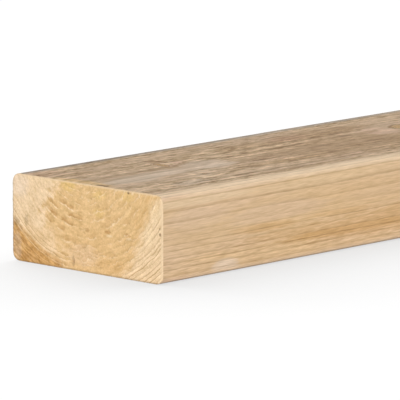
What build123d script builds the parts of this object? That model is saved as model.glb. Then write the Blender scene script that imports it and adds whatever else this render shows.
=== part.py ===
"""Planed softwood batten: one length of timber, planed on four sides, with rounded long edges and sawn ends."""

import os

from build123d import *

# Driving dimensions, in millimetres
stock_length = 1800.0  # length between the two sawn ends
section_width = 89.0  # planed width of the broad faces
section_thickness = 38.0  # planed thickness, the height of the narrow edges
arris_radius = 4.0  # round-over that the planer leaves on the four long edges
end_ease = 0.4  # sharpness broken off round each sawn end

# The batten lies on a broad face, along X. The origin is the middle of that face.
section_plane = Plane.YZ.offset(-stock_length / 2)
section_centre = (0, section_thickness / 2)

with BuildPart() as batten:
    # The sawn blank
    with BuildSketch(section_plane):
        with Locations(section_centre):
            Rectangle(section_width, section_thickness)
    extrude(amount=stock_length)

    # The long edges, rounded in the planer
    long_edges = batten.edges().filter_by(Axis.X)
    fillet(long_edges, radius=arris_radius)

    # The two cross cuts, with their sharp rims just broken
    sawn_ends = batten.faces().filter_by(Axis.X)
    chamfer(sawn_ends.edges(), length=end_ease)

batten.part.label = "batten"

os.makedirs("parts", exist_ok=True)
export_step(batten.part, "parts/batten.step")
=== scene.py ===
"""Planed softwood batten: one closed numpy surface in a solid-wood finish, on a pale studio floor."""

import logging
import math
from dataclasses import dataclass
from enum import Enum
from functools import reduce
from operator import mul
from typing import Dict, List, Optional, Sequence, Tuple, Union

import bpy
import numpy as np
from mathutils import Matrix, Vector


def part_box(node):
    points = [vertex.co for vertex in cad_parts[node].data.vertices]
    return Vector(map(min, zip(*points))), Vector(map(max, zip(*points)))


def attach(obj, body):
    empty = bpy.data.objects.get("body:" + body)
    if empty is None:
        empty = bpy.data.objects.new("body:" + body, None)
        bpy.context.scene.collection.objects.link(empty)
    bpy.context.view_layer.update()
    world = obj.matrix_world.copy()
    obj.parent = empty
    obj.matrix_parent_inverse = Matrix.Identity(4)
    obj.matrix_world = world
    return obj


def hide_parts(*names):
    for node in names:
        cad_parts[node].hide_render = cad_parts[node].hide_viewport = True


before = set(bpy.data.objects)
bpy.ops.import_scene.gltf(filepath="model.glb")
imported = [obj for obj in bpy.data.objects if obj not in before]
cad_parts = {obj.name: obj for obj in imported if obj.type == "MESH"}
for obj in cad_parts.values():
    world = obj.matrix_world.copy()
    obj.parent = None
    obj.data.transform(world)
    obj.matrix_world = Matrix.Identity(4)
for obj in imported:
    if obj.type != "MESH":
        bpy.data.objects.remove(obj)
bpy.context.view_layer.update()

log = logging.getLogger("batten")

MILLIMETRE = 0.001
MILLIMETRES_IN_METRE = 1000.0
FULL_TURN = 2.0 * math.pi
CAD_NODE = "batten"
CAD_BODY = "root"
BAKE_MAP = "OFBake"
NOISE_MEAN = 0.5
WHITE = (1.0, 1.0, 1.0)
SEEN_RAYS = ("Is Camera Ray", "Is Glossy Ray", "Is Transmission Ray")

Triple = Tuple[float, float, float]
Colour = Triple
Number = Union[float, "Signal"]
Field = Union[np.ndarray, float, "Signal"]
ColourLike = Union[Colour, "Tone"]
Value = Union[Number, ColourLike, bpy.types.NodeSocket]
Reading = Dict[str, "Signal"]
Shape = Union["Ramp", "Band", "Scale"]
Cover = Union["Mask", "Sum", "Apply", "RingNoise", "Patch"]
Table = Tuple[Tuple[str, Union[Cover, "Pattern"]], ...]


class Cut(Enum):
    """How a face of the batten was worked. The value is the place of its finish on the mesh."""

    PLANED = 0
    SAWN = 1


class End(Enum):
    """A sawn end of the batten. The value is the way that it faces along X."""

    NEAR = -1.0
    FAR = 1.0


TORN_SEED = {End.NEAR: 31, End.FAR: 57}


class Formula(Enum):
    """Formulas that arrays and signals share: a Math node's operation and a numpy function."""

    SINE = ("SINE", np.sin)
    ROOT = ("SQRT", np.sqrt)
    TURN = ("ARCTAN2", np.arctan2)
    LEAST = ("MINIMUM", np.minimum)
    MOST = ("MAXIMUM", np.maximum)
    SIZE = ("ABSOLUTE", np.abs)
    WHOLE = ("FLOOR", np.floor)

    def of(self, first: Field, *others: Field) -> Field:
        """The formula of an array or a signal, and of others after it."""
        operation, function = self.value
        return first.apply(operation, *others) if isinstance(first, Signal) else function(first, *others)


def plug(tree: bpy.types.NodeTree, slot: bpy.types.NodeSocket, value: Value) -> None:
    """Joins a signal, a tone or an output to a node's input, or writes a plain number or colour into it.

    Args:
        tree: the node tree.
        slot: the input to fill.
        value: what goes into it.
    """
    if isinstance(value, (Signal, Tone)):
        tree.links.new(value.socket, slot)
    elif isinstance(value, bpy.types.NodeSocket):
        tree.links.new(value, slot)
    else:
        slot.default_value = (*value, 1.0) if slot.type == "RGBA" else value


def new_node(
    tree: bpy.types.NodeTree,
    kind: str,
    *inputs: Value,
    named: Optional[Dict[str, Value]] = None,
    **settings: Union[str, int],
) -> bpy.types.Node:
    """Adds a shader node.

    Args:
        tree: the node tree.
        kind: the node's type, without the words that all of them start with.
        inputs: values of its first inputs, in order.
        named: values of further inputs, by name.
        settings: values of its own settings.

    Returns:
        The node.
    """
    node = tree.nodes.new("ShaderNode" + kind)
    for name, setting in settings.items():
        setattr(node, name, setting)
    for place, value in (*enumerate(inputs), *(named or {}).items()):
        plug(tree, node.inputs[place], value)
    return node


@dataclass(frozen=True)
class Signal:
    """A number that varies through the wood: one output in a material's node tree."""

    tree: bpy.types.NodeTree
    socket: bpy.types.NodeSocket

    def apply(self, operation: str, *others: Number) -> "Signal":
        """This signal, and others after it, put through one Math node."""
        return Signal(self.tree, new_node(self.tree, "Math", self, *others, operation=operation).outputs[0])

    def __add__(self, other: Number) -> "Signal":
        """Sum."""
        return self.apply("ADD", other)

    def __sub__(self, other: Number) -> "Signal":
        """Difference."""
        return self.apply("SUBTRACT", other)

    def __mul__(self, other: Number) -> "Signal":
        """Product."""
        return self.apply("MULTIPLY", other)

    def __truediv__(self, other: Number) -> "Signal":
        """Quotient."""
        return self.apply("DIVIDE", other)

    def __pow__(self, exponent: float) -> "Signal":
        """Power."""
        return self.apply("POWER", exponent)


@dataclass(frozen=True)
class Tone:
    """A colour that varies through the wood: one output in a material's node tree."""

    tree: bpy.types.NodeTree
    socket: bpy.types.NodeSocket

    def shaded(self, stroke: Signal, tinge: Colour) -> "Tone":
        """This tone with strokes on it: each channel is multiplied by one plus the stroke times its tinge.

        Args:
            stroke: above 0 where the wood is paler, below 0 where it is darker.
            tinge: how far the strokes change each channel.

        Returns:
            The shaded tone.
        """
        change = new_node(self.tree, "VectorMath", tinge, named={"Scale": stroke}, operation="SCALE")
        result = new_node(self.tree, "VectorMath", self, change.outputs[0], self, operation="MULTIPLY_ADD")
        return Tone(self.tree, result.outputs[0])


def mixed(share: Signal, first: ColourLike, second: ColourLike) -> Tone:
    """Mix of two colours.

    Args:
        share: 0 for the first colour, 1 for the second.
        first: a colour or tone.
        second: a colour or tone.

    Returns:
        The mixed tone.
    """
    node = new_node(share.tree, "Mix", share, data_type="RGBA")
    slots = {slot.identifier: slot for slot in (*node.inputs, *node.outputs)}
    plug(share.tree, slots["A_Color"], first)
    plug(share.tree, slots["B_Color"], second)
    return Tone(share.tree, slots["Result_Color"])


@dataclass(frozen=True)
class Ramp:
    """A smooth step: nothing at low, all of its gain at high, which is below low for a falling one."""

    low: float
    high: float
    gain: float = 1.0
    base: float = 0.0  # what the step stands on

    def of(self, value: Field) -> Field:
        """The step: three times the square less twice the cube of the way from low to high.

        Args:
            value: an array or a signal.

        Returns:
            The step times the gain, plus the base.
        """
        if isinstance(value, Signal):
            limits = (self.low, self.high, self.base, self.base + self.gain)
            node = new_node(value.tree, "MapRange", value, *limits, interpolation_type="SMOOTHSTEP")
            return Signal(value.tree, node.outputs["Result"])
        way = np.clip((value - self.low) / (self.high - self.low), 0.0, 1.0)
        return way * way * (3.0 - 2.0 * way) * self.gain + self.base


EASE = Ramp(0.0, 1.0)


@dataclass(frozen=True)
class Band:
    """A band with soft edges: it rises from start to full, and falls from fading to end."""

    start: float
    full: float
    fading: float
    end: float

    def of(self, value: Field) -> Field:
        """The band, a smooth step up times a smooth step down, for an array or a signal."""
        return Ramp(self.start, self.full).of(value) * Ramp(self.end, self.fading).of(value)


@dataclass(frozen=True)
class Scale:
    """A straight line: a value times a gain, plus a base."""

    gain: float
    base: float = 0.0

    def of(self, value: Signal) -> Signal:
        """The scaled value, which is the value itself when there is nothing to scale."""
        return value if self == ALL else value.apply("MULTIPLY_ADD", self.gain, self.base)


ALL = Scale(1.0)
REST = Scale(-1.0, 1.0)


def part_of_one(value: Field) -> Field:
    """What is left of a value above its whole number, for an array or a signal."""
    return value - Formula.WHOLE.of(value)


def looked_up(value: Field, stops: Sequence[float], heights: Sequence[float]) -> Field:
    """Value looked up in a table, straight between its stops.

    Args:
        value: an array or a signal.
        stops: rising stops of the table, the first of them 0.
        heights: height at each stop, the last of them the greatest.

    Returns:
        The height.
    """
    if not isinstance(value, Signal):
        return np.interp(value, stops, heights)
    node = new_node(value.tree, "FloatCurve", named={"Value": value / stops[-1]})
    curve = node.mapping.curves[0]
    places = [(stop / stops[-1], height / heights[-1]) for stop, height in zip(stops, heights)]
    for point, place in zip(curve.points, (places[0], places[-1])):
        point.location = place
        point.handle_type = "VECTOR"
    for place in places[1:-1]:
        curve.points.new(*place).handle_type = "VECTOR"
    node.mapping.update()
    return Signal(value.tree, node.outputs["Value"]) * heights[-1]


def rough_field(first: np.ndarray, second: np.ndarray, seed: int) -> np.ndarray:
    """Smooth random heights over a plane: seeded random values on a unit lattice, eased between its corners.

    Args:
        first: first coordinate of each point, in lattice cells.
        second: second coordinate of each point, in lattice cells.
        seed: seed of the lattice.

    Returns:
        A height from 0 to 1 for each point.
    """
    side = 256
    lattice = np.random.default_rng(seed).random((side, side))
    row, column = np.floor(first).astype(int), np.floor(second).astype(int)
    down, over = EASE.of(first - row), EASE.of(second - column)
    row, column = row % side, column % side
    next_row, next_column = (row + 1) % side, (column + 1) % side
    near = lattice[row, column] * (1.0 - over) + lattice[row, next_column] * over
    far = lattice[next_row, column] * (1.0 - over) + lattice[next_row, next_column] * over
    return near * (1.0 - down) + far * down


@dataclass(frozen=True)
class WoodPoint:
    """Places in the timber, in millimetres: along from the near end, across the width, up from the floor."""

    along: Field
    across: Field
    up: Field


@dataclass(frozen=True)
class Pattern:
    """A noise drawn out along the grain, or on the sawn ends along the rings."""

    along: float  # cells per millimetre along the grain, or outwards from the heart
    across: float  # cells per millimetre across it, or round the heart
    shift: float  # how far it is moved, so that two patterns differ
    octaves: float = 3.0
    falloff: float = 0.6  # strength of each finer octave
    led: bool = True  # whether knots lead it aside


def joined(first: Number, *others: Number) -> bpy.types.NodeSocket:
    """A vector made of three signals or numbers."""
    tree = next(part.tree for part in (first, *others) if isinstance(part, Signal))
    return new_node(tree, "CombineXYZ", first, *others).outputs[0]


def noise(place: bpy.types.Node, pattern: Pattern) -> Signal:
    """Perlin noise, one cell to a unit.

    Args:
        place: the node that gives the place.
        pattern: octaves and falloff of the noise.

    Returns:
        The noise, about zero on average.
    """
    settings = {"Vector": place.outputs[0], "Detail": pattern.octaves, "Roughness": pattern.falloff}
    node = new_node(place.id_data, "TexNoise", named={**settings, "Scale": 1.0})
    return Signal(place.id_data, node.outputs[0]) - NOISE_MEAN


@dataclass(frozen=True)
class Wave:
    """A slow sway along the grain: its height and length in millimetres."""

    height: float
    length: float

    def at(self, along: Field) -> Field:
        """Height of the wave, the square of a sine, so that it starts flat from zero at the near end."""
        swing = Formula.SINE.of(along * (math.pi / self.length))
        return swing * swing * self.height


@dataclass(frozen=True)
class Knot:
    """A branch root: a cone of elliptical section that leaves the heart of the tree square to the grain."""

    along: float  # millimetres from the near end, where it leaves the heart
    turn: float  # degrees round the heart, from straight down towards +Y
    along_slope: float  # half its size along the grain, as a share of the distance from the heart
    round_slope: float  # half its size round the heart, in radians
    reach: float = 200.0  # millimetres from the heart at which it dies out


@dataclass(frozen=True)
class Timber:
    """The wood that the batten was sawn from: growth rings round a heart that runs above the top face."""

    heart_across: float = 2.5
    heart_height: float = 57.0
    sway_across: Tuple[Wave, ...] = (Wave(6.0, 1900.0), Wave(1.2, 830.0))
    sway_height: Tuple[Wave, ...] = (Wave(-5.0, 1300.0), Wave(4.0, 2100.0))
    ring_ends: Tuple[float, ...] = (
        0.0, 3.0, 6.5, 10.0, 13.5, 16.8, 19.8, 22.7, 25.4, 28.1, 31.4, 34.7,
        38.4, 42.3, 46.1, 48.5, 50.3, 52.0, 54.0, 56.5, 59.1, 60.7, 62.3, 63.9,
        66.0, 67.6, 69.4, 71.4, 73.2, 75.0, 76.8, 78.6, 81.0, 84.0, 87.0, 90.0,
    )  # millimetres from the heart at which each year's growth ends
    ring_darkness: Tuple[float, ...] = (
        0.70, 0.70, 0.80, 0.60, 0.80, 0.65, 1.00, 0.55, 1.00, 0.55, 0.70, 0.60,
        1.00, 0.65, 0.70, 0.80, 1.00, 1.00, 0.60, 0.35, 0.60, 0.95, 0.45, 0.70,
        1.00, 0.90, 0.50, 0.70, 0.80, 0.60, 0.90, 0.70, 0.80, 0.60, 0.80, 1.00,
    )  # how dark the latewood that follows each of those ends is
    late_part: Band = Band(0.69, 0.90, 0.97, 1.0)  # where in a year's ring the dark latewood lies
    wander: Pattern = Pattern(0.010, 0.05, 0.0, 2.0, 0.5)  # how the rings stray along the grain
    wander_reach: float = 1.2
    branch_lean: float = 0.12  # how far a branch leans along the grain for each millimetre outwards
    branch_fade: float = 0.35  # how fast a dead branch dies out past its reach
    ring_swell: float = 3.2  # millimetres that the rings bulge out over a branch
    lead_share: float = 0.75  # share of its way aside that a fibre is led off beside a knot
    lead_along: float = 0.025  # how fast that fades along the grain, and aside
    lead_aside: float = 0.16
    clear_wood: float = 1.0e3  # distance from a knot, as round_knots gives it, where there is none
    knots: Tuple[Knot, ...] = (
        Knot(55.3, 25.0, 0.085, 0.24, 32.0),
        Knot(51.0, -46.5, 0.035, 0.030, 34.0),
        Knot(208.0, 11.0, 0.36, 0.32),
        Knot(508.0, -38.0, 0.11, 0.11),
        Knot(522.0, 27.0, 0.15, 0.14),
        Knot(872.0, -12.0, 0.14, 0.13),
        Knot(861.0, 62.0, 0.10, 0.09),
        Knot(1188.0, 16.0, 0.16, 0.15),
        Knot(1196.0, -57.0, 0.11, 0.10),
        Knot(1493.0, -27.0, 0.12, 0.12),
        Knot(1480.0, 48.0, 0.10, 0.10),
        Knot(1726.0, 5.0, 0.13, 0.12),
    )

    def round_heart(self, point: WoodPoint) -> Tuple[Field, Field]:
        """Distance from the heart and angle round it, the heart swaying along the grain by a sum of sines.

        Args:
            point: places in the timber.

        Returns:
            The distance in millimetres, and the angle in radians from straight down towards +Y.
        """
        across = point.across - self.heart_across
        drop = point.up * -1.0 + self.heart_height
        for wave in self.sway_across:
            across = across - wave.at(point.along)
        for wave in self.sway_height:
            drop = drop + wave.at(point.along)
        return Formula.ROOT.of(across * across + drop * drop), Formula.TURN.of(across, drop)

    def round_knots(self, point: WoodPoint, distance: Field, turn: Field) -> Tuple[Field, Field]:
        """How far out from the nearest knot, and how far aside the knots lead the fibres.

        The first is the squared distance from a knot's axis over its squared half size. The second adds
        up, for all knots, the way aside of the axis, lessened as the square of one plus a longer-drawn
        distance of the same kind grows.

        Args:
            point: places in the timber.
            distance: distance from the heart.
            turn: angle round the heart.

        Returns:
            The distance, 0 on a knot's axis and 1 at its bark, and the way aside in millimetres.
        """
        nearest: Field = self.clear_wood
        lead: Field = 0.0
        leaning = point.along - distance * self.branch_lean
        for knot in self.knots:
            off = (leaning - knot.along) / (distance * knot.along_slope)
            aside = (turn - math.radians(knot.turn)) * (1.0 / knot.round_slope)
            past = Formula.MOST.of(distance - knot.reach, 0.0) * self.branch_fade
            nearest = Formula.LEAST.of(off * off + aside * aside + past, nearest)
            drawn = off * off * self.lead_along + aside * aside * self.lead_aside + past + 1.0
            lead = aside * distance / (drawn * drawn) * (knot.round_slope * self.lead_share) + lead
        return nearest, lead

    def ring_count(self, distance: Field, knot: Field) -> Field:
        """Number of rings inside a distance, from the table of ring ends, which bulge out over a knot."""
        inner = distance - (knot * knot + 1.0) ** -1.0 * self.ring_swell
        return looked_up(inner, self.ring_ends, range(len(self.ring_ends)))

    def latewood(self, count: Field) -> Field:
        """Share of dark latewood: it rises slowly through a year's ring and falls at once at its end."""
        return self.late_part.of(part_of_one(count))


@dataclass(frozen=True)
class WoodColours:
    """Colours that the planed and the sawn finish share."""

    earlywood: Colour = (0.717, 0.508, 0.292)
    latewood: Colour = (0.43, 0.245, 0.100)
    cream: Colour = (0.808, 0.610, 0.392)
    blush: Colour = (0.725, 0.525, 0.355)
    golden: Colour = (0.690, 0.455, 0.215)
    saffron: Colour = (0.735, 0.505, 0.190)
    amber: Colour = (0.600, 0.345, 0.125)
    # umber; also painted shade in torn pits
    umber: Colour = (0.470, 0.250, 0.085)
    knot_heart: Colour = (0.46, 0.25, 0.10)
    knot_year: Colour = (0.68, 0.46, 0.21)
    knot_bark: Colour = (0.15, 0.08, 0.04)
    sunlit: Colour = (0.735, 0.497, 0.245)
    straw: Colour = (0.840, 0.570, 0.265)
    # pale lips; also painted highlight on torn ones
    lip: Colour = (0.88, 0.680, 0.430)
    # pale arris wood with painted sheen
    burnished_sheen: Colour = (0.88, 0.665, 0.455)
    # bright gleam; on the arrises a painted sheen
    gleam: Colour = (0.93, 0.718, 0.495)
    bleached: Colour = (0.800, 0.640, 0.490)
    silvered: Colour = (0.690, 0.540, 0.395)
    flushed: Colour = (0.800, 0.555, 0.395)
    rusty: Colour = (0.560, 0.340, 0.210)
    browned: Colour = (0.420, 0.255, 0.120)
    # weathered wood; on the upper face also painted shade, since less light falls there
    weathered: Colour = (0.53, 0.395, 0.280)
    # painted shade along the back edges
    ashen: Colour = (0.245, 0.215, 0.190)
    # dirt; also painted shade along the bottom edges and inside the drying check
    dirt: Colour = (0.21, 0.125, 0.060)


WOOD = WoodColours()


@dataclass(frozen=True)
class Section:
    """Sizes of the batten that its finishes follow, in millimetres."""

    length: float
    width: float
    thickness: float


@dataclass
class NodePaper:
    """A material's node tree, written as signals at places in the timber, each with a name."""

    name: str
    section: Section
    timber: Timber

    def __post_init__(self) -> None:
        """Makes the material with a bare tree, and reads the place, the section and the grain."""
        self.material = bpy.data.materials.new(self.name)
        self.material.use_nodes = True
        self.tree = self.material.node_tree
        self.tree.nodes.clear()
        half_width, half_thick = self.section.width / 2.0, self.section.thickness / 2.0
        metres = new_node(self.tree, "TexCoord").outputs["Object"]
        longer = {"Scale": MILLIMETRES_IN_METRE}
        scaled = new_node(self.tree, "VectorMath", metres, named=longer, operation="SCALE")
        self.place = scaled.outputs[0]
        parts = new_node(self.tree, "SeparateXYZ", self.place).outputs
        x, across, up = (Signal(self.tree, socket) for socket in parts)
        point = WoodPoint(x + self.section.length / 2.0, across, up)
        distance, turn = self.timber.round_heart(point)
        knot, lead = self.timber.round_knots(point, distance, turn)
        aside = joined(0.0, lead * turn.apply("COSINE"), lead * turn.apply("SINE"))
        led = new_node(self.tree, "VectorMath", self.place, aside, operation="SUBTRACT")
        self.led_place = led.outputs[0]
        self.read: Reading = {
            "along": point.along,
            "across": across,
            "up": up,
            "distance": distance,
            "turn": turn,
            "knot": knot,
            "past_edge": Formula.SIZE.of(across) - half_width,
            "past_face": Formula.SIZE.of(up - half_thick) - half_thick,
            "past_top": up - self.section.thickness,
            "past_back": across - half_width,
            "from_front": across + half_width,
        }

    def pattern(self, pattern: Pattern) -> Signal:
        """Noise at the place in the timber, scaled along and across the grain and moved.

        Args:
            pattern: the noise.

        Returns:
            The noise, about zero on average.
        """
        scale = (pattern.along, pattern.across, pattern.across)
        shift = (pattern.shift, pattern.shift, pattern.shift)
        place = self.led_place if pattern.led else self.place
        moved = new_node(self.tree, "VectorMath", place, scale, shift, operation="MULTIPLY_ADD")
        return noise(moved, pattern)

    def add(self, table: Table) -> None:
        """Works out the formulas of a table in their order, each under its name."""
        for name, formula in table:
            self.read[name] = formula.of(self.read)

    def add_rings(self) -> None:
        """Reads the growth rings, which wander slowly along the grain and are out by the signal called jag.

        Under count is the number of rings inside a place, under year how far through the year it grew, and
        under late its share of latewood times the darkness of its ring.
        """
        darkness = self.timber.ring_darkness
        wander = self.pattern(self.timber.wander) * self.timber.wander_reach
        out = self.read["distance"] + wander + self.read.get("jag", 0.0)
        count = self.timber.ring_count(out, self.read["knot"])
        strength = looked_up(Formula.WHOLE.of(count), range(len(darkness)), darkness)
        self.read["count"], self.read["year"] = count, part_of_one(count)
        self.read["late"] = self.timber.latewood(count) * strength

    def finish(self, tone: Tone, depth: float, specular: float) -> None:
        """Ends the tree in one Principled shader with bump, by the signals called rough and height.

        Args:
            tone: base colour.
            depth: millimetres that a height of 1 stands for.
            specular: strength of the plain surface reflection.
        """
        relief = {"Strength": 1.0, "Distance": depth * MILLIMETRE, "Height": self.read["height"]}
        bump = new_node(self.tree, "Bump", named=relief).outputs[0]
        looks = {"Base Color": tone, "Roughness": self.read["rough"], "Normal": bump}
        looks["Specular IOR Level"] = specular
        shader = new_node(self.tree, "BsdfPrincipled", named=looks)
        new_node(self.tree, "OutputMaterial", shader.outputs[0])


@dataclass(frozen=True)
class Mask:
    """Where something lies: a product of shapes, each of one signal."""

    shapes: Tuple[Tuple[str, Shape], ...]

    def of(self, read: Reading) -> Signal:
        """The product of the shapes of the signals that were read."""
        return reduce(mul, (shape.of(read[name]) for name, shape in self.shapes))


@dataclass(frozen=True)
class Sum:
    """A weighted sum of signals."""

    start: float
    weights: Tuple[Tuple[str, float], ...]

    def of(self, read: Reading) -> Signal:
        """The start plus each signal that was read times its weight."""
        terms = ((read[name], weight) for name, weight in self.weights)
        return reduce(lambda total, term: term[0].apply("MULTIPLY_ADD", term[1], total), terms, self.start)


@dataclass(frozen=True)
class Apply:
    """A formula of signals, by their names, or of plain numbers."""

    formula: Formula
    inputs: Tuple[Union[str, float], ...]

    def of(self, read: Reading) -> Signal:
        """The formula of the signals that were read."""
        return self.formula.of(*(read[value] if isinstance(value, str) else value for value in self.inputs))


@dataclass(frozen=True)
class RingNoise:
    """A pattern by a signal that counts outwards from the heart, and by the way round the heart."""

    outward: str
    pattern: Pattern

    def of(self, read: Reading) -> Signal:
        """Noise of the two signals, each scaled, with the pattern's shift as the third part of the place."""
        outward, around = read[self.outward] * self.pattern.along, read["arc"] * self.pattern.across
        return noise(joined(outward, around, self.pattern.shift).node, self.pattern)


@dataclass(frozen=True)
class Patch:
    """A soft-edged stain: its middle and half sizes along, across and up, in millimetres."""

    middle: Triple
    half: Triple
    share: float  # its strength
    ragged: str = "frayed"  # the signal that frays its edge, as a share of its squared half size
    fade: Ramp = Ramp(1.0, 0.2)

    def of(self, read: Reading) -> Signal:
        """How far the stain covers a place: it fades as the sum of squared offsets over half sizes nears 1.

        Args:
            read: the signals.

        Returns:
            The cover, up to the share.
        """
        far = read[self.ragged]
        for name, middle, half in zip(("along", "across", "up"), self.middle, self.half):
            off = (read[name] - middle) / half
            far = off * off + far
        return self.fade.of(far) * self.share


def where(**shapes: Shape) -> Mask:
    """A mask from shapes, by the names of their signals."""
    return Mask(tuple(shapes.items()))


def weigh(start: float = 0.0, **weights: float) -> Sum:
    """A sum from weights, by the names of their signals."""
    return Sum(start, tuple(weights.items()))


def table(**rows: Union[Cover, Pattern]) -> Table:
    """A table from its rows, by their names."""
    return tuple(rows.items())


@dataclass(frozen=True)
class Layer:
    """A colour, or a stack of its own, laid on by its cover."""

    colour: Union[Colour, "Stack"]
    cover: Cover


def lay(colour: Union[Colour, "Stack"], **shapes: Shape) -> Layer:
    """A layer from its colour and the shapes of its cover, by the names of their signals."""
    return Layer(colour, where(**shapes))


@dataclass(frozen=True)
class Stack:
    """A plain colour and the layers over it."""

    base: ColourLike
    layers: Tuple[Layer, ...]

    def tone(self, read: Reading) -> Tone:
        """The base with each layer mixed in by its cover.

        Args:
            read: the signals.

        Returns:
            The tone of the whole stack.
        """
        tone = self.base
        for layer in self.layers:
            over = layer.colour.tone(read) if isinstance(layer.colour, Stack) else layer.colour
            tone = mixed(layer.cover.of(read), tone, over)
        return tone


def on_top(
    along: float,
    across: float,
    length: float,
    width: float,
    colour: Colour,
    share: float,
    ragged: str = "frayed",
) -> Layer:
    """A stain on the upper face, by its middle, half length, half width, colour, strength and edge."""
    upper_face, depth = 38.0, 4.0
    return Layer(colour, Patch((along, across, upper_face), (length, width, depth), share, ragged))


def on_edge(
    along: float, up: float, length: float, height: float, colour: Colour, share: float, depth: float = 10.0
) -> Layer:
    """A stain on the front edge, by its middle, half length, half height, colour, strength and depth."""
    front_edge = -44.5
    return Layer(colour, Patch((along, front_edge, up), (length, depth, height), share))


def on_end(across: float, up: float, width: float, height: float, colour: Colour, share: float) -> Layer:
    """A mark on the near end, by its middle, half width, half height, colour and strength."""
    depth = 30.0
    return Layer(colour, Patch((0.0, across, up), (depth, width, height), share))


@dataclass(frozen=True)
class Finish:
    """A finish of the wood: tables of named signals, and the layers of colour that lie by them."""

    name: str
    relief: float  # millimetres of bump
    tinge: Colour  # how far strokes change each channel: pale ones are whiter, dark ones richer in colour
    patterns: Table
    zones: Table  # signals from which the rings may take their jag
    details: Table  # signals that need the rings, with stroke, rough and height among them
    ground: Stack  # colours under the strokes
    over: Tuple[Layer, ...]  # colours over the strokes
    specular: float = 0.10

    def material(self, timber: Timber, section: Section) -> bpy.types.Material:
        """Writes the finish as a node tree.

        Args:
            timber: the wood it is cut from.
            section: the batten's sizes.

        Returns:
            The material.
        """
        paper = NodePaper(self.name, section, timber)
        paper.read.update((name, paper.pattern(pattern)) for name, pattern in self.patterns)
        paper.add(self.zones)
        paper.add_rings()
        paper.add(self.details)
        stroked = self.ground.tone(paper.read).shaded(paper.read["stroke"], self.tinge)
        paper.finish(Stack(stroked, self.over).tone(paper.read), self.relief, self.specular)
        return paper.material


# Places where handling has smoothed the weathered face: columns as for on_top
RUBBED_ROWS = (
    (47.0, -3.2, 24.0, 7.6, WOOD.bleached, 0.72),
    (22.0, -6.0, 19.0, 9.0, WOOD.silvered, 0.95),
    (74.0, -1.0, 16.0, 12.0, WOOD.bleached, 0.80),
)

# Stains of the front edge: columns as for on_edge
EDGE_ROWS = (
    (170.0, 10.5, 125.0, 8.0, WOOD.amber, 0.48, 30.0),
    (122.0, 9.4, 52.0, 2.4, WOOD.amber, 0.42),
    (66.0, 17.0, 26.0, 2.4, WOOD.amber, 0.40),
    (108.0, 17.8, 30.0, 2.0, WOOD.amber, 0.32),
    (140.0, 23.0, 80.0, 14.0, WOOD.golden, 0.26),
    (39.0, 2.8, 10.0, 4.6, WOOD.bleached, 0.80),
    (22.0, 27.0, 24.0, 7.0, WOOD.blush, 0.50),
    (70.0, 23.0, 40.0, 5.0, WOOD.blush, 0.50),
    (105.0, 32.6, 75.0, 2.6, WOOD.cream, 0.30),
    (22.0, 33.4, 44.0, 2.2, WOOD.cream, 0.65),
)

# Stains of the upper face: columns as for on_top
TOP_ROWS = (
    (104.0, -9.5, 26.0, 7.0, WOOD.blush, 0.80),
    (35.0, -28.5, 15.0, 5.0, WOOD.silvered, 0.65),
    (135.0, -28.5, 17.0, 5.5, WOOD.blush, 0.95),
    (155.0, -8.0, 85.0, 30.0, WOOD.browned, 0.60),
    (172.0, 22.0, 42.0, 12.0, WOOD.browned, 0.60),
    (122.0, 20.0, 28.0, 7.0, WOOD.browned, 0.50),
    (14.0, 21.0, 15.0, 6.0, WOOD.browned, 0.45),
    (95.0, -35.5, 42.0, 3.5, WOOD.browned, 0.40),
    (105.0, -18.8, 47.0, 3.6, WOOD.browned, 0.50),
    (149.0, 22.0, 15.0, 7.0, WOOD.rusty, 0.60),
    (6.0, 33.0, 13.0, 12.0, WOOD.rusty, 0.45),
    (194.0, 6.0, 12.0, 12.0, WOOD.flushed, 0.60),
    (212.0, 5.0, 9.0, 8.0, WOOD.golden, 0.70),
    (64.0, 11.0, 10.0, 7.0, WOOD.flushed, 0.70),
    (61.5, 19.0, 4.5, 7.0, WOOD.browned, 1.00),
    (57.0, 4.6, 3.8, 4.6, WOOD.browned, 1.00),
    (57.8, 11.3, 3.2, 7.5, WOOD.rusty, 0.90),
    (57.6, 11.5, 2.0, 5.0, WOOD.knot_bark, 0.45),
    (62.5, 12.8, 3.6, 4.0, WOOD.gleam, 0.90),
    (50.3, -22.5, 6.0, 4.4, WOOD.gleam, 0.85),
    (130.0, 40.0, 150.0, 5.0, WOOD.silvered, 0.40),
    (54.0, -17.7, 3.2, 2.0, WOOD.knot_bark, 0.85),
    (49.6, -14.4, 2.6, 2.4, WOOD.gleam, 1.00),
    (58.0, -12.5, 4.2, 3.4, WOOD.gleam, 0.70),
    (0.6, 4.0, 7.4, 24.0, WOOD.straw, 0.85),
    (1.4, -7.5, 2.4, 6.0, WOOD.dirt, 0.75),
)

RUBBED = tuple(on_top(*row, "rub_edge") for row in RUBBED_ROWS)
STAINS = (*(on_edge(*row) for row in EDGE_ROWS), *(on_top(*row) for row in TOP_ROWS))
RUB_CALM = Scale(-0.78, 1.0)  # what rubbing leaves of the strokes

# Pale arrises: partly paler worn wood, partly painted sheen that brightens towards the top, flushed at the
# near corner
WORN_SHEEN = Stack(
    WOOD.burnished_sheen,
    (
        lay(WOOD.gleam, past_top=Ramp(-1.8, -0.4)),
        lay(WOOD.flushed, along=Ramp(24.0, 6.0, 0.60), past_top=Ramp(-0.4, -1.4)),
    ),
)

# A knot: years of its own round a dark heart
KNOT = Stack(WOOD.knot_heart, (lay(WOOD.knot_year, knot_swing=Scale(0.5, 0.5)),))
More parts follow.
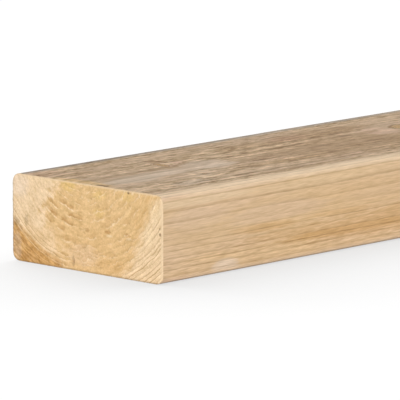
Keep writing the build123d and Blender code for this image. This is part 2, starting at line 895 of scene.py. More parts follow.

# Long faces: ring lines, fibre streaks, stains, knots, pale arrises with painted sheen, an upper face
# weathered and darkened by painted shade, and painted shade along the back arris and the bottom
PLANED = Finish(
    name="planed_softwood",
    relief=0.18,
    tinge=(1.0, 1.17, 1.48),
    patterns=table(
        hair=Pattern(0.150, 1.70, 3.0, 1.5),
        fibre=Pattern(0.060, 0.90, 13.0),
        streak=Pattern(0.016, 0.22, 7.0),
        cloud=Pattern(0.009, 0.07, 11.0, 2.0, 0.5),
        grit=Pattern(0.130, 0.36, 17.0, 2.5, 0.8),
        dots=Pattern(0.060, 0.42, 5.0, 3.0, 0.65),
        fade=Pattern(0.022, 0.40, 23.0, 2.0),
    ),
    zones=table(
        arris=where(past_edge=Ramp(-7.0, -3.5), past_face=Ramp(-3.4, -0.8)),
        upper=where(past_top=Ramp(-1.3, -0.2), arris=REST),
        lower=where(up=Ramp(20.0, 8.0)),
        dash=where(dots=Ramp(0.04, 0.20)),
        frayed=weigh(fibre=0.9, streak=1.3, hair=0.7),
        rub_edge=weigh(fibre=0.8, streak=1.5, cloud=0.8),
        first_rub=RUBBED[0].cover,
        second_rub=RUBBED[1].cover,
        third_rub=RUBBED[2].cover,
        unrubbed=where(first_rub=RUB_CALM, second_rub=RUB_CALM, third_rub=RUB_CALM),
        # where painted shade greys the back arris of the upper face, strongest near the near end
        grey_back=weigh(past_back=1.0, fibre=4.0),
        grey_top=weigh(past_top=1.0, fibre=1.6),
        grey_cloud=weigh(cloud=1.0, streak=0.6),
        grey_drift=where(grey_cloud=Ramp(-0.10, 0.16, 0.22)),
        grey_near=where(along=Ramp(520.0, 240.0, 0.58)),
        grey_share=weigh(grey_near=1.0, grey_drift=1.0),
        knot_out=Apply(Formula.ROOT, ("knot",)),
        girth=weigh(knot_out=1.0, fibre=1.2),
        knot_turn=weigh(girth=30.0),
        knot_swing=Apply(Formula.SINE, ("knot_turn",)),
        in_knot=where(girth=Ramp(1.08, 0.92)),
    ),
    details=table(
        unbroken=weigh(0.85, fade=2.2),
        line_gaps=Apply(Formula.MOST, ("unbroken", 0.0)),
        line=where(late=ALL, line_gaps=ALL),
        line_share=weigh(0.15, upper=0.26, lower=0.08),
        hairs=where(hair=ALL, lower=Scale(0.24, 0.46)),
        yearly=where(year=Scale(1.0, -0.60), upper=Scale(-0.03, 0.09)),
        pale_fleck=where(grit=Ramp(0.04, 0.14)),
        dark_fleck=where(grit=Ramp(-0.04, -0.14)),
        coarse=weigh(grit=0.84, pale_fleck=0.19, dark_fleck=-0.19, streak=0.76, line=-0.12),
        weather=where(coarse=ALL, upper=ALL, cloud=Ramp(-0.14, 0.12, 0.70, 0.65), unrubbed=ALL),
        stroke=weigh(hairs=1.0, fibre=0.20, streak=0.12, line=-0.11, yearly=-1.0, weather=1.0),
        rough=weigh(0.62, fibre=0.25, late=-0.10),
        upper_grit=where(grit=ALL, upper=ALL),
        height=weigh(0.5, hair=0.5, fibre=0.6, upper_grit=1.2, late=0.4, dash=-0.4),
    ),
    ground=Stack(
        WOOD.blush,
        (
            lay(WOOD.earlywood, cloud=Ramp(-0.12, 0.12, 0.7)),
            lay(WOOD.golden, streak=Ramp(-0.05, 0.15, 0.12, 0.25)),
            # upper face darker: partly weathering, partly painted shade where less light falls
            lay(WOOD.weathered, upper=Scale(0.34)),
            *STAINS,
            *RUBBED,
            lay(WOOD.latewood, line=ALL, line_share=ALL),
            lay(WOOD.dirt, dash=ALL, upper=ALL, unrubbed=Scale(0.30)),
            # pale arrises: partly paler wood, partly painted sheen
            lay(WORN_SHEEN, arris=Scale(0.85)),
            # painted shade along the back arris of the upper face
            lay(WOOD.ashen, grey_back=Ramp(-8.5, -5.0), grey_top=Ramp(-1.7, -0.3), grey_share=ALL),
        ),
    ),
    over=(
        # painted shade: darker towards the floor along the bottom of the long faces
        lay(WOOD.dirt, up=Ramp(1.5, 0.3, 0.6)),
        lay(WOOD.blush, girth=Ramp(2.8, 1.1, 0.40)),
        lay(KNOT, in_knot=Scale(0.80)),
        lay(WOOD.knot_bark, girth=Ramp(0.60, 0.92, 0.60), in_knot=ALL),
    ),
)

# Marks of the near end: columns as for on_end
END_ROWS = (
    (10.7, 36.0, 5.0, 3.0, WOOD.saffron, 0.75),
    (-7.3, 34.0, 5.0, 2.5, WOOD.saffron, 0.55),
    (-7.2, 26.4, 4.0, 2.5, WOOD.saffron, 0.50),
    (-24.0, 35.0, 5.0, 2.5, WOOD.saffron, 0.45),
    (2.0, 7.0, 11.0, 6.0, WOOD.blush, 0.40),
    (-14.0, 4.5, 10.0, 4.0, WOOD.amber, 0.20),
    (40.5, 33.5, 7.0, 7.0, WOOD.bleached, 0.55),
    (-40.0, 30.0, 4.5, 7.0, WOOD.lip, 0.45),
    (41.5, 6.0, 3.2, 9.0, WOOD.weathered, 0.40),
    (30.5, 4.0, 5.0, 4.0, WOOD.umber, 0.45),
    # dark pits, two with lit lips below them: painted shade above painted highlight
    (-0.4, 18.4, 1.9, 1.2, WOOD.umber, 0.50),
    (-12.4, 18.8, 2.3, 1.1, WOOD.umber, 0.60),
    (-24.2, 18.8, 2.1, 1.1, WOOD.umber, 0.60),
    (-13.6, 17.3, 2.3, 0.8, WOOD.lip, 0.60),
    (-25.0, 17.3, 2.1, 0.8, WOOD.lip, 0.60),
    (-36.3, 20.5, 3.5, 6.0, WOOD.lip, 0.60),
    (42.5, 17.0, 3.0, 2.2, WOOD.dirt, 0.40),
    (36.2, 18.3, 1.6, 3.0, WOOD.dirt, 0.35),
    (39.6, 14.6, 1.6, 2.2, WOOD.dirt, 0.35),
    # painted shade inside the drying check
    (8.0, 4.2, 0.95, 3.2, WOOD.dirt, 0.42),
    (-24.6, 37.1, 0.9, 0.8, WOOD.dirt, 0.85),
    (-43.1, 23.7, 0.7, 0.7, WOOD.dirt, 0.70),
    (-43.1, 21.4, 0.7, 0.8, WOOD.dirt, 0.90),
)

MARKS = tuple(on_end(*row) for row in END_ROWS)

# End grain: a golden middle between cream outer zones, an amber corner and torn rings, with painted shade in
# their sunk steps and painted highlight on their lips; painted shade along the back and bottom edges
SAWN = Finish(
    name="sawn_end_grain",
    relief=0.60,
    tinge=(1.0, 1.2, 1.7),
    patterns=table(
        torn=Pattern(0.02, 0.26, 31.0, 1.0, 0.5, led=False),
        tatter=Pattern(0.05, 0.80, 37.0, led=False),
        pits=Pattern(0.05, 1.20, 3.0, 3.0, 0.65),
        cloud=Pattern(0.01, 0.075, 21.0, 2.0, 0.5),
    ),
    zones=table(
        arc=weigh(turn=45.0),  # millimetres round the heart, half-way out
        flake=RingNoise("distance", Pattern(0.50, 0.17, 3.0, 1.5, 0.55)),
        ragged=RingNoise("distance", Pattern(0.60, 0.26, 0.0, 4.0, 0.65)),
        splinter=RingNoise("distance", Pattern(1.10, 0.24, 24.0, 2.0, 0.6)),
        blotch=RingNoise("distance", Pattern(0.24, 0.15, 12.0, 3.0, 0.65)),
        frayed=weigh(ragged=1.5, pits=0.8),
        bend=weigh(flake=8.0, torn=6.0),
        top_swing=where(up=Ramp(22.0, 37.0, 0.20)),
        swung=weigh(turn=1.0, torn=0.35, flake=0.30, top_swing=1.0),
        far_corner=where(swung=Ramp(0.46, 0.92, 22.0)),
        far_shoulder=where(turn=Ramp(0.20, 0.50, 3.0)),
        far_out=weigh(distance=1.0, far_corner=1.0, far_shoulder=1.0, bend=1.0),
        far_cream=where(far_out=Ramp(41.0, 57.0), swung=Ramp(0.10, 0.46)),
        near_line=where(turn=Ramp(-0.85, -0.36, 11.0, 50.0)),
        near_out=weigh(distance=1.0, near_line=-1.0, bend=0.6),
        near_cream=where(near_out=Ramp(-3.6, 2.6), swung=Ramp(-0.16, -0.40)),
        cream=Apply(Formula.MOST, ("near_cream", "far_cream")),
        corner_lift=where(up=Ramp(8.0, 20.0, 1.6)),
        corner_out=weigh(distance=1.0, ragged=4.0, corner_lift=-1.0),
        crescent=where(corner_out=Ramp(53.8, 57.2), turn=Ramp(0.16, 0.30)),
        gold=where(cream=REST, crescent=REST),
        waver=where(torn=ALL, turn=Ramp(0.30, -0.05, 3.0, 1.8)),
        tearing=weigh(waver=1.0, tatter=1.2),
        jag=where(tearing=ALL, gold=Scale(0.75, 0.25)),
        near_rim=where(from_front=Ramp(1.5, 0.6, 0.75)),
        top_rim=where(past_top=Ramp(-1.2, -0.2, 0.75)),
        rims=Apply(Formula.MOST, ("near_rim", "top_rim")),
    ),
    details=table(
        corner_lines=where(near_cream=ALL, distance=Ramp(47.0, 63.0, 0.95)),
        edge_lines=where(turn=Ramp(0.05, 0.25, 0.60), distance=Band(49.0, 53.0, 56.0, 60.0)),
        crisp=weigh(corner_lines=1.0, edge_lines=1.0),
        shifted=weigh(-0.18, count=1.0),  # a torn step starts later than its year
        step=Apply(Formula.WHOLE, ("shifted",)),
        step_year=weigh(shifted=1.0, step=-1.0),
        tear=RingNoise("step", Pattern(5.3, 0.10, 16.0, 2.0, 0.55)),
        lively=where(turn=Band(-0.10, 0.16, 0.52, 0.74), distance=Band(25.0, 31.0, 42.0, 47.0)),
        torn_step=weigh(tear=1.0, lively=0.04),
        patchy=where(torn_step=Ramp(-0.07, 0.07)),
        # painted shade in the sunk part of each torn step, painted highlight on its raised lip
        sunk=where(patchy=ALL, step_year=Band(0.10, 0.66, 0.76, 0.90)),
        raised=where(patchy=ALL, step_year=Band(0.74, 0.90, 0.93, 1.0), flake=Ramp(-0.16, 0.06)),
        sunk_share=weigh(gold=0.26, lively=0.38, cream=0.08),
        raised_share=weigh(gold=0.60, lively=0.15, cream=0.20),
        flake_share=weigh(0.40, lively=0.35, crescent=0.15),
        flakes=where(flake=ALL, flake_share=ALL),
        splinter_share=weigh(crescent=1.00, cream=0.40),
        splinters=where(splinter=ALL, splinter_share=ALL),
        stroke=weigh(flakes=1.0, splinters=1.0, ragged=0.36, pits=0.52, tatter=0.30),
        rough=weigh(0.75, pits=0.2),
        height=weigh(0.5, raised=0.12, sunk=-0.12, flake=0.5, ragged=0.4, pits=0.4, tatter=0.4),
    ),
    ground=Stack(
        WOOD.sunlit,
        (
            lay(WOOD.golden, cloud=Ramp(0.0, 0.16, 0.6)),
            lay(WOOD.cream, cream=Scale(0.85)),
            lay(WOOD.golden, distance=Ramp(45.0, 53.0, 0.50), turn=Ramp(0.30, 0.55), up=Ramp(21.0, 12.0)),
            lay(
                WOOD.amber,
                near_out=Band(-13.0, -5.0, -2.6, 1.0),
                turn=Ramp(-0.52, -0.80),
                splinter=Ramp(-0.10, 0.10, 0.36, 0.04),
            ),
            lay(WOOD.amber, crescent=Scale(0.97)),
            lay(WOOD.umber, blotch=Ramp(-0.02, 0.10, 0.75), crescent=ALL),
            lay(WOOD.sunlit, blotch=Ramp(-0.04, -0.14, 0.36), crescent=ALL),
            *MARKS,
            lay(WOOD.latewood, late=ALL, crisp=Scale(0.75, 0.05)),
            lay(WOOD.lip, year=Ramp(0.36, 0.06), crisp=Scale(0.55, 0.05)),
            # painted shade and painted highlight of the torn steps
            lay(WOOD.umber, sunk=ALL, sunk_share=ALL, up=Ramp(25.0, 33.0, -0.55, 1.0)),
            lay(WOOD.lip, raised=ALL, raised_share=ALL),
        ),
    ),
    over=(
        lay(WOOD.cream, rims=ALL),
        # painted shade along the back edge of the end
        lay(WOOD.ashen, past_back=Ramp(-0.9, -0.2, 0.6)),
        # painted shade: a dark line along the bottom edge of the end, by the floor
        lay(WOOD.dirt, up=Ramp(1.1, 0.2, 0.5)),
        lay(WOOD.knot_heart, knot=Ramp(1.15, 0.85)),
    ),
)


@dataclass(frozen=True)
class Outline:
    """Points round the section, counter-clockwise seen from +X, in millimetres."""

    across: np.ndarray
    up: np.ndarray
    out_across: np.ndarray  # the two parts of the outward direction
    out_up: np.ndarray
    travelled: np.ndarray  # distance round the section


def corners_of(grid: np.ndarray) -> np.ndarray:
    """The four corners of each cell of a grid, in order round the cell."""
    return np.stack((grid[:-1, :-1], grid[:-1, 1:], grid[1:, 1:], grid[1:, :-1]), 2)


@dataclass(frozen=True)
class Batten(Section):
    """The batten itself: a rounded rectangle carried along X, closed at both ends by sawn faces.

    Sizes are in millimetres until the mesh is written.
    """

    arris_radius: float = 4.0  # round-over of the four long edges
    rim_ease: float = 0.4  # sharpness broken off round each sawn end
    broad_steps: int = 176  # outline points along a broad face
    narrow_steps: int = 74  # outline points along a narrow edge
    rim_steps: int = 4
    rim_guard: float = 0.35  # first ring past the rim, which keeps its edge crisp
    close_zone: float = 262.0  # length with close rings, at the near end
    close_pitch: float = 3.7
    open_pitch: float = 62.0
    knot_pitch: float = 4.5
    knot_zone: float = 13.0
    knot_depth: float = 0.6  # share of the heart's height at which a knot's middle is taken
    count_steps: int = 4  # for each millimetre, in counting the rings along the batten
    line_depth: float = 0.05  # how far earlywood sinks between the latewood lines
    line_calm: Ramp = Ramp(0.6, 1.6)  # the lines fade towards a knot
    swell_depth: float = 0.05  # slow rise and fall of the planed faces
    swell_along: float = 45.0
    swell_round: float = 14.0
    swell_seed: int = 5
    saw_radius: float = 160.0
    saw_aside: float = 0.7  # how far aside the saw turns, as a share of its radius
    tooth_pitch: float = 2.1
    tooth_depth: float = 0.05
    torn_pits: Tuple[Triple, ...] = ((2.6, 2.0, 0.12), (1.1, 1.1, 0.10))  # width, height and depth
    torn_start: float = 90.0  # lattice cells that their middle is moved by
    torn_shift: float = 7.0  # how far torn fibres move a ring's edge, for each millimetre of their depth
    step_depth: float = 0.14  # how far each ring tore down towards its outer side
    check_across: float = 8.0  # drying check in the near end
    check_height: float = 4.2
    check_half_width: float = 1.0
    check_half_height: float = 3.4
    check_depth: float = 0.7
    chip_pitch: float = 3.5  # length of the chips along the sawn rims
    chip_share: float = 0.55  # how far they change the broken edge
    chip_change: float = 9.0  # lattice cells between the chips of the two ends
    chip_seed: int = 71
    timber: Timber = Timber()
    name: str = "planed_batten"

    def outline(self) -> Outline:
        """Rounded rectangle, drawn side by side from the middle of one corner arc to the middle of the next.

        On each side a point's way from the middle is a straight run up to the arc and then a turn of
        that way over the radius, so position and direction come from one formula for all four sides.

        Returns:
            The outline's points.
        """
        half_broad, half_narrow, radius = self.width / 2.0, self.thickness / 2.0, self.arris_radius
        sides = (
            (self.broad_steps, half_narrow, half_broad, (0.0, -1.0), (1.0, 0.0)),
            (self.narrow_steps, half_broad, half_narrow, (1.0, 0.0), (0.0, 1.0)),
            (self.broad_steps, half_narrow, half_broad, (0.0, 1.0), (-1.0, 0.0)),
            (self.narrow_steps, half_broad, half_narrow, (-1.0, 0.0), (0.0, -1.0)),
        )
        places, facings, ways = [], [], []
        start = 0.0
        for steps, stand_off, half_run, facing, heading in sides:
            straight = half_run - radius
            reach = straight + radius * math.pi / 4.0
            way = np.linspace(-reach, reach, steps, endpoint=False)
            bend = np.maximum(np.abs(way) - straight, 0.0) / radius
            sign = np.sign(way)
            outward = stand_off - radius + radius * np.cos(bend)
            sideways = np.clip(way, -straight, straight) + sign * radius * np.sin(bend)
            places.append(np.outer(outward, facing) + np.outer(sideways, heading))
            facings.append(np.outer(np.cos(bend), facing) + np.outer(sign * np.sin(bend), heading))
            ways.append(way + reach + start)
            start += 2.0 * reach
        place, facing, way = np.concatenate(places), np.concatenate(facings), np.concatenate(ways)
        return Outline(place[:, 0], place[:, 1] + half_narrow, facing[:, 0], facing[:, 1], way)

    def stations(self) -> np.ndarray:
        """Places of the rings between the two rims: even steps of a running count of rings along the batten.

        The count grows fast in the close zone and round each knot, and slowly elsewhere.

        Returns:
            Distances from the near end.
        """
        first = self.rim_ease + self.rim_guard
        along = np.linspace(first, self.length - first, int(self.length) * self.count_steps)
        pitch = np.where(along < self.close_zone, self.close_pitch, self.open_pitch)
        for knot in self.timber.knots:
            middle = knot.along + self.timber.branch_lean * self.timber.heart_height * self.knot_depth
            close = np.minimum(pitch, self.knot_pitch)
            pitch = np.where(np.abs(along - middle) < self.knot_zone, close, pitch)
        count = np.concatenate(([0.0], np.cumsum(np.diff(along) / pitch[1:])))
        return np.interp(np.linspace(0.0, count[-1], int(round(count[-1])) + 1), count, along)

    def end_place(self, end: End) -> float:
        """Distance of an end from the near end."""
        return 0.0 if end is End.NEAR else self.length

    def planed_relief(self, point: WoodPoint, way: np.ndarray) -> np.ndarray:
        """Depth of the planed faces below the true section.

        Soft earlywood sinks between the latewood lines, and the whole face rises and falls slowly.

        Args:
            point: places on the section.
            way: distance round it.

        Returns:
            The depth in millimetres.
        """
        distance, turn = self.timber.round_heart(point)
        knot, _ = self.timber.round_knots(point, distance, turn)
        late = self.timber.latewood(self.timber.ring_count(distance, knot))
        swell = rough_field(point.along / self.swell_along, way / self.swell_round, self.swell_seed)
        return (1.0 - late) * self.line_depth * self.line_calm.of(knot) + swell * self.swell_depth

    def sawn_relief(self, end: End, across: np.ndarray, up: np.ndarray) -> np.ndarray:
        """Depth of a sawn end below the true end plane.

        Arcs left by the saw's teeth, pits where fibres tore out at two scales, steps where each ring
        tore down towards its outer side, and on the near end a drying check, a straight-sided groove
        that tapers out at its top and bottom.

        Args:
            end: which end.
            across: place across the width.
            up: height above the floor.

        Returns:
            The depth in millimetres.
        """
        swing = np.hypot(across - self.saw_radius * self.saw_aside, up + self.saw_radius)
        depth = (1.0 + np.sin(swing * FULL_TURN / self.tooth_pitch)) / 2.0 * self.tooth_depth
        torn = np.zeros_like(across)
        for place, (wide, high, deep) in enumerate(self.torn_pits):
            cells = (across / wide + self.torn_start, up / high + self.torn_start)
            torn = torn + rough_field(*cells, TORN_SEED[end] + place) * deep
        along = np.full_like(across, self.end_place(end))
        distance, _ = self.timber.round_heart(WoodPoint(along, across, up))
        year = part_of_one(self.timber.ring_count(distance + torn * self.torn_shift, np.inf))
        depth = depth + torn + year * self.step_depth
        if end is End.NEAR:
            taper = np.abs(up - self.check_height) / self.check_half_height
            side = np.abs(across - self.check_across) / self.check_half_width + taper
            depth = depth + np.maximum(1.0 - side, 0.0) * self.check_depth
        return depth

    def body(self, true: Outline) -> Tuple[np.ndarray, np.ndarray, np.ndarray]:
        """Rings of the body, from the near rim to the far rim.

        A quarter circle, larger or smaller by the chips, breaks each rim. Then the planed faces sink by
        their relief, and the rims by that of the sawn ends.

        Args:
            true: the section's outline.

        Returns:
            The points, by ring and round it, each ring's distance from the near end, and its share of
            the sawn end.
        """
        ease = np.linspace(0.0, math.pi / 2.0, self.rim_steps + 1)
        inset, drawn_in = self.rim_ease * (1.0 - np.sin(ease)), self.rim_ease * (1.0 - np.cos(ease))
        middle = self.stations()
        plain = np.zeros(len(middle))
        along = np.concatenate((drawn_in, middle, self.length - drawn_in[::-1]))
        insets = np.concatenate((inset, plain, inset[::-1]))
        rim_share = np.concatenate((np.cos(ease), plain, np.cos(ease[::-1])))
        change = along[:, None] / self.length * self.chip_change
        chips = rough_field(true.travelled / self.chip_pitch, change, self.chip_seed)
        broken = insets[:, None] * (1.0 + (chips * 2.0 - 1.0) * self.chip_share)
        across, up = true.across - broken * true.out_across, true.up - broken * true.out_up
        ring_along = along[:, None] + 0.0 * across
        depth = self.planed_relief(WoodPoint(ring_along, across, up), true.travelled + 0.0 * across)
        across, up = across - depth * true.out_across, up - depth * true.out_up
        for end in End:
            half = (along < self.length / 2.0) == (end is End.NEAR)
            share = (rim_share * half)[:, None]
            ring_along = ring_along - end.value * share * self.sawn_relief(end, across, up)
        return np.stack((ring_along, across, up), -1), along, rim_share

    def build(self) -> bpy.types.Object:
        """Works out the whole closed surface and writes it into one mesh object.

        The rings of the body run from the near rim to the far rim, then each end face fills its rim.

        Returns:
            The object, in the row frame.
        """
        true = self.outline()
        body, along, rim_share = self.body(true)
        ids = np.arange(body[..., 0].size).reshape(body.shape[:2])
        cut_of_row = np.where(rim_share[:-1] + rim_share[1:] > 0.0, Cut.SAWN.value, Cut.PLANED.value)
        points = body.reshape(-1, 3)
        faces = [corners_of(np.concatenate((ids, ids[:, :1]), 1)).reshape(-1, 4)]
        cuts, maps = [np.repeat(cut_of_row, ids.shape[1])], [self.body_map(along, true)]
        for end, ring in ((End.NEAR, 0), (End.FAR, -1)):
            inner, grid = self.end_face(end, body[ring], ids[ring], len(points))
            quads = corners_of(grid.T if end is End.NEAR else grid).reshape(-1, 4)
            points = np.concatenate((points, inner))
            faces.append(quads)
            cuts.append(np.full(len(quads), Cut.SAWN.value))
            maps.append(self.end_map(end, points[quads.reshape(-1)]))
        points[:, 0] -= self.length / 2.0
        return self.write(points * MILLIMETRE, *(np.concatenate(rows) for rows in (faces, cuts, maps)))

    def end_face(
        self, end: End, rim: np.ndarray, rim_ids: np.ndarray, start: int
    ) -> Tuple[np.ndarray, np.ndarray]:
        """Fills a rim with a grid: blends of bottom and top and of the sides, less that of the corners.

        Args:
            end: which end.
            rim: the rim's points, from the corner by the floor on the -Y side.
            rim_ids: the rim's point numbers.
            start: number of the first new point.

        Returns:
            The new points inside the rim, and all point numbers, in rows upwards and columns towards +Y.
        """
        broad, narrow = self.broad_steps, self.narrow_steps
        order = np.concatenate((np.arange(len(rim)), [0]))
        bottom, right = order[: broad + 1], order[broad : broad + narrow + 1]
        top = order[broad + narrow : 2 * broad + narrow + 1][::-1]
        left = order[2 * broad + narrow :][::-1]
        u = np.linspace(0.0, 1.0, broad + 1)[None, :, None]
        v = np.linspace(0.0, 1.0, narrow + 1)[:, None, None]
        flat = rim[:, 1:]
        blend = (1.0 - v) * flat[bottom][None] + v * flat[top][None]
        blend = blend + (1.0 - u) * flat[left][:, None] + u * flat[right][:, None]
        corners = (1.0 - v) * ((1.0 - u) * flat[bottom[0]] + u * flat[bottom[-1]])
        corners = corners + v * ((1.0 - u) * flat[top[0]] + u * flat[top[-1]])
        inside = (blend - corners)[1:-1, 1:-1].reshape(-1, 2)
        depth = self.sawn_relief(end, inside[:, 0], inside[:, 1])
        inner = np.column_stack((self.end_place(end) - end.value * depth, inside))
        grid = np.empty((narrow + 1, broad + 1), int)
        grid[0], grid[-1] = rim_ids[bottom], rim_ids[top]
        grid[:, 0], grid[:, -1] = rim_ids[left], rim_ids[right]
        grid[1:-1, 1:-1] = start + np.arange(len(inner)).reshape(narrow - 1, broad - 1)
        return inner, grid

    def body_map(self, along: np.ndarray, true: Outline) -> np.ndarray:
        """Bake map of the body: distance along, with more room for the close zone, by distance round.

        Args:
            along: distances of the rings.
            true: the section's outline.

        Returns:
            Map coordinates of each face's corners.
        """
        margin, close_share, body_share = 0.004, 0.32, 0.81
        girth = 2.0 * true.travelled[self.broad_steps + self.narrow_steps]
        stops = np.array([0.0, self.close_zone, self.length])
        u = np.interp(along, stops, margin + (1.0 - 2.0 * margin) * np.array([0.0, close_share, 1.0]))
        v = margin + (body_share - 2.0 * margin) * np.append(true.travelled, girth) / girth
        return corners_of(np.stack(np.meshgrid(u, v, indexing="ij"), -1)).reshape(-1, 2)

    def end_map(self, end: End, corners: np.ndarray) -> np.ndarray:
        """Bake map of an end face, laid flat beside the other above the body's map.

        Args:
            end: which end.
            corners: places of the faces' corners.

        Returns:
            Map coordinates of each face's corners.
        """
        margin, floor_line, ceiling, middle = 0.006, 0.816, 0.996, 0.5
        scale = (ceiling - floor_line) / self.thickness
        left = margin if end is End.NEAR else middle + margin
        over = left + (corners[:, 1] + self.width / 2.0) * scale
        return np.column_stack((over, floor_line + corners[:, 2] * scale))

    def write(
        self, points: np.ndarray, faces: np.ndarray, cuts: np.ndarray, corner_map: np.ndarray
    ) -> bpy.types.Object:
        """Puts points, faces, finishes and bake map into a mesh object.

        Args:
            points: places in metres.
            faces: four point numbers for each face.
            cuts: place of each face's finish.
            corner_map: bake map coordinates of each face's corners.

        Returns:
            The linked object.
        """
        mesh = bpy.data.meshes.new(self.name)
        mesh.from_pydata(points, [], faces)
        mesh.polygons.foreach_set("material_index", cuts.astype(np.int32))
        mesh.polygons.foreach_set("use_smooth", np.ones(len(faces), bool))
        layer = mesh.uv_layers.new(name=BAKE_MAP)
        layer.data.foreach_set("uv", corner_map.astype(np.float32).ravel())
        mesh.update()
        piece = bpy.data.objects.new(self.name, mesh)
        bpy.context.scene.collection.objects.link(piece)
        return piece

    def dress(self, piece: bpy.types.Object) -> None:
        """Gives the planed and sawn faces their finishes, and ties the piece to the CAD frame.

        Args:
            piece: the mesh object.
        """
        finishes = {Cut.PLANED: PLANED, Cut.SAWN: SAWN}
        for cut in Cut:
            piece.data.materials.append(finishes[cut].material(self.timber, self))
        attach(piece, CAD_BODY)
        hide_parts(CAD_NODE)


def direction(azimuth: float, elevation: float) -> Vector:
    """Unit vector towards a far place, at degrees from -Y round to +X and degrees above the floor."""
    turn, rise = math.radians(azimuth), math.radians(elevation)
    return Vector((math.sin(turn) * math.cos(rise), -math.cos(turn) * math.cos(rise), math.sin(rise)))


@dataclass(frozen=True)
class Lamp:
    """A soft far lamp: where its light comes from, how strong it is and how wide it looks."""

    name: str
    azimuth: float  # degrees, 0 from -Y and 90 from +X
    elevation: float  # degrees above the floor
    level: float  # 1 lights a white face that looks straight at it to plain white
    spread: float  # degrees across

    def build(self) -> None:
        """Adds the lamp as a sun."""
        data = bpy.data.lights.new(self.name, "SUN")
        data.energy = self.level * math.pi
        data.angle = math.radians(self.spread)
        lamp = bpy.data.objects.new(self.name, data)
        lamp.rotation_euler = direction(self.azimuth, self.elevation).to_track_quat("Z", "Y").to_euler()
        bpy.context.scene.collection.objects.link(lamp)


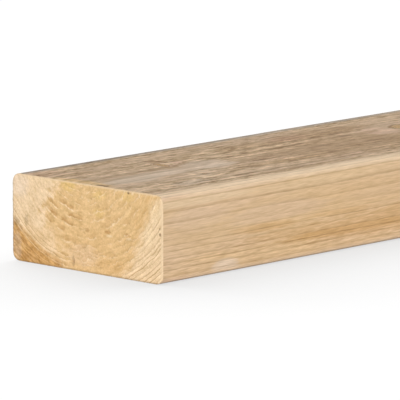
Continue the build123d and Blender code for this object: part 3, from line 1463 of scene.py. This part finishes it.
@dataclass(frozen=True)
class Studio:
    """Pale seamless floor, even ambient light and soft lamps."""

    ambient: float = 0.30
    floor_half_side: float = 80.0
    floor_colour: Colour = (0.80, 0.80, 0.80)
    shown_colour: Colour = (0.12, 0.12, 0.12)  # the part of the floor's white that is lit by the lamps
    floor_glow: float = 0.950  # the rest of it, which only what stands close by darkens
    shade_depth: float = 0.39
    shade_reach: float = 0.14  # metres
    shade_azimuth: float = 133.0  # degrees, where the darkened light comes from
    shade_elevation: float = 40.0
    shade_rays: int = 24
    lamps: Tuple[Lamp, ...] = (
        Lamp("key", -53.0, 14.0, 0.90, 34.0),
        Lamp("far_side", 172.0, 13.0, 0.35, 40.0),
        Lamp("far_end", 94.0, 13.0, 0.35, 40.0),
    )

    def seen_share(self, tree: bpy.types.NodeTree) -> Signal:
        """1 for rays that show the background itself: camera, mirror and see-through rays."""
        rays = new_node(tree, "LightPath").outputs
        return reduce(Formula.MOST.of, (Signal(tree, rays[name]) for name in SEEN_RAYS))

    def build_world(self) -> None:
        """White where it is seen, plain ambient light elsewhere."""
        world = bpy.data.worlds.new("studio")
        bpy.context.scene.world = world
        world.use_nodes = True
        tree = world.node_tree
        tree.nodes.clear()
        light, white = (new_node(tree, "Background", WHITE, level) for level in (self.ambient, 1.0))
        mix = new_node(tree, "MixShader", self.seen_share(tree), light.outputs[0], white.outputs[0])
        new_node(tree, "OutputWorld", mix.outputs[0])

    def floor_material(self) -> bpy.types.Material:
        """The floor's white where it is seen: part glow and part lit, so that it keeps a shadow.

        The glow is lessened by what shuts the floor off from the shaded direction.

        Returns:
            The material.
        """
        material = bpy.data.materials.new("pale_floor")
        material.use_nodes = True
        tree = material.node_tree
        tree.nodes.clear()
        tilt = new_node(tree, "CombineXYZ", *direction(self.shade_azimuth, self.shade_elevation))
        reach = {"Distance": self.shade_reach, "Normal": tilt.outputs[0]}
        shade = new_node(tree, "AmbientOcclusion", named=reach, samples=self.shade_rays)
        left = Scale(self.shade_depth, 1.0 - self.shade_depth).of(Signal(tree, shade.outputs["AO"]))
        glow = new_node(tree, "Emission", named={"Strength": left * self.floor_glow})
        colours = (self.floor_colour, self.shown_colour)
        plain, lit = (new_node(tree, "BsdfDiffuse", colour) for colour in colours)
        both = new_node(tree, "AddShader", lit.outputs[0], glow.outputs[0])
        mix = new_node(tree, "MixShader", self.seen_share(tree), plain.outputs[0], both.outputs[0])
        new_node(tree, "OutputMaterial", mix.outputs[0])
        return material

    def build_floor(self) -> None:
        """Adds a wide flat sheet as the stage."""
        side = self.floor_half_side
        corners = [(-side, -side, 0.0), (side, -side, 0.0), (side, side, 0.0), (-side, side, 0.0)]
        mesh = bpy.data.meshes.new("studio_floor")
        mesh.from_pydata(corners, [], [range(len(corners))])
        mesh.materials.append(self.floor_material())
        floor = bpy.data.objects.new("studio_floor", mesh)
        bpy.context.scene.collection.objects.link(floor)

    def build(self) -> None:
        """Sets the plain view transform and builds world, floor and lamps."""
        bpy.context.scene.view_settings.view_transform = "Standard"
        self.build_world()
        self.build_floor()
        for lamp in self.lamps:
            lamp.build()


@dataclass(frozen=True)
class PhotoCamera:
    """The photograph's viewpoint, placed from where it shows the near bottom corner of the batten."""

    azimuth: float = -46.58  # degrees, 0 looks along +Y
    elevation: float = 9.633  # degrees above the horizon
    distance: float = 2.2179  # metres to the corner, along the line of sight
    picture_side: float = 400.0  # pixels
    focal_length: float = 5316.0  # pixels
    corner_right: float = -37.64  # pixels from the middle of the picture to the corner
    corner_up: float = -85.90
    sensor: float = 36.0  # millimetres
    far_clip: float = 400.0

    def build(self, corner: Vector) -> bpy.types.Object:
        """Places the camera so that the corner falls on its pixel.

        Args:
            corner: the corner of the batten, in metres.

        Returns:
            The camera.
        """
        turn = math.radians(self.azimuth)
        back = direction(self.azimuth, self.elevation)
        right = Vector((math.cos(turn), math.sin(turn), 0.0))
        up = back.cross(right)
        aside = self.distance / self.focal_length
        place = corner + back * self.distance
        place = place - right * self.corner_right * aside - up * self.corner_up * aside
        data = bpy.data.cameras.new("photo_camera")
        data.sensor_width = self.sensor
        data.lens = self.sensor * self.focal_length / self.picture_side
        data.clip_end = self.far_clip
        camera = bpy.data.objects.new("photo_camera", data)
        camera.matrix_world = Matrix.Translation(place) @ Matrix((right, up, back)).transposed().to_4x4()
        bpy.context.scene.collection.objects.link(camera)
        bpy.context.scene.camera = camera
        return camera


def main() -> None:
    """Builds camera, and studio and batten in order."""
    logging.basicConfig(level=logging.INFO, format="%(name)s: %(message)s")
    low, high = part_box(CAD_NODE)
    length, width, thickness = ((high - low) * MILLIMETRES_IN_METRE).to_tuple()
    camera = PhotoCamera().build(low)
    log.info("camera %s at %s", camera.name, tuple(round(value, 3) for value in camera.location))
    Studio().build()
    log.info("studio floor, world and lamps")
    batten = Batten(length, width, thickness)
    piece = batten.build()
    batten.dress(piece)
    mesh = piece.data
    log.info("%s with %d points and %d faces", piece.name, len(mesh.vertices), len(mesh.polygons))


if __name__ == "__main__":
    main()
